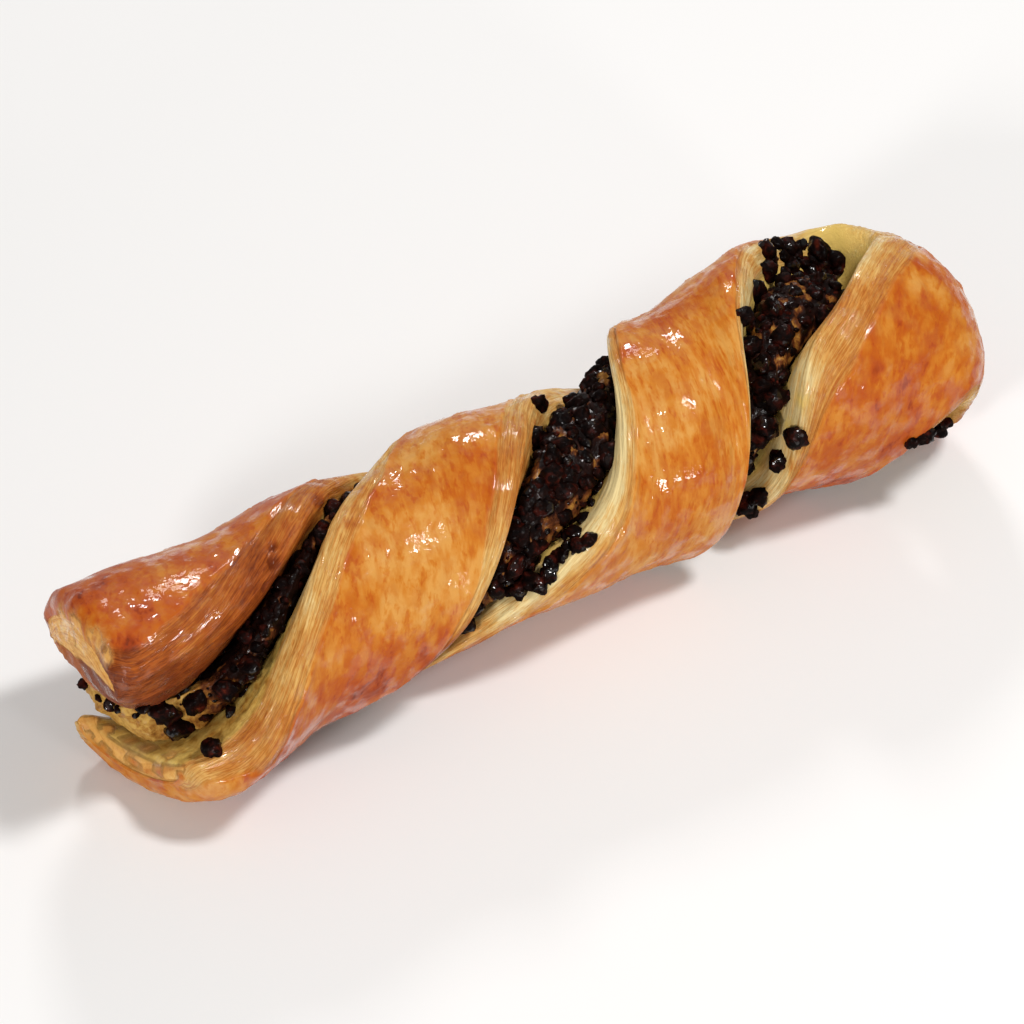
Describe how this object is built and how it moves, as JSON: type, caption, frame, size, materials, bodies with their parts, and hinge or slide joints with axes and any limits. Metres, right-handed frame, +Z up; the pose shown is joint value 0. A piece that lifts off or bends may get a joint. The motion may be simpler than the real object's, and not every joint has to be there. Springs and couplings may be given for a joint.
{
  "type": "chocolate twist pastry",
  "caption": "Baked pastry twist: a folded strip of laminated dough wound around custard and chocolate chips, with blunt fold end and parted mouth end.",
  "frame": {"origin": "middle of the bounding box's bottom, on the surface that the twist lies on", "axes": "+X along the twist from the parted mouth to the blunt fold, +Z up"},
  "size_m": [0.2056, 0.0546, 0.0516],
  "materials": {
    "baked_dough": "egg-glazed golden brown crust, glossy, with pale flaky cut edges",
    "filling": "dark melted chocolate chips set in yellow custard, slightly glossy"
  },
  "bodies": {
    "root": {"dough": "baked_dough", "chocolate_filling": "filling"}
  },
  "joints": []
}
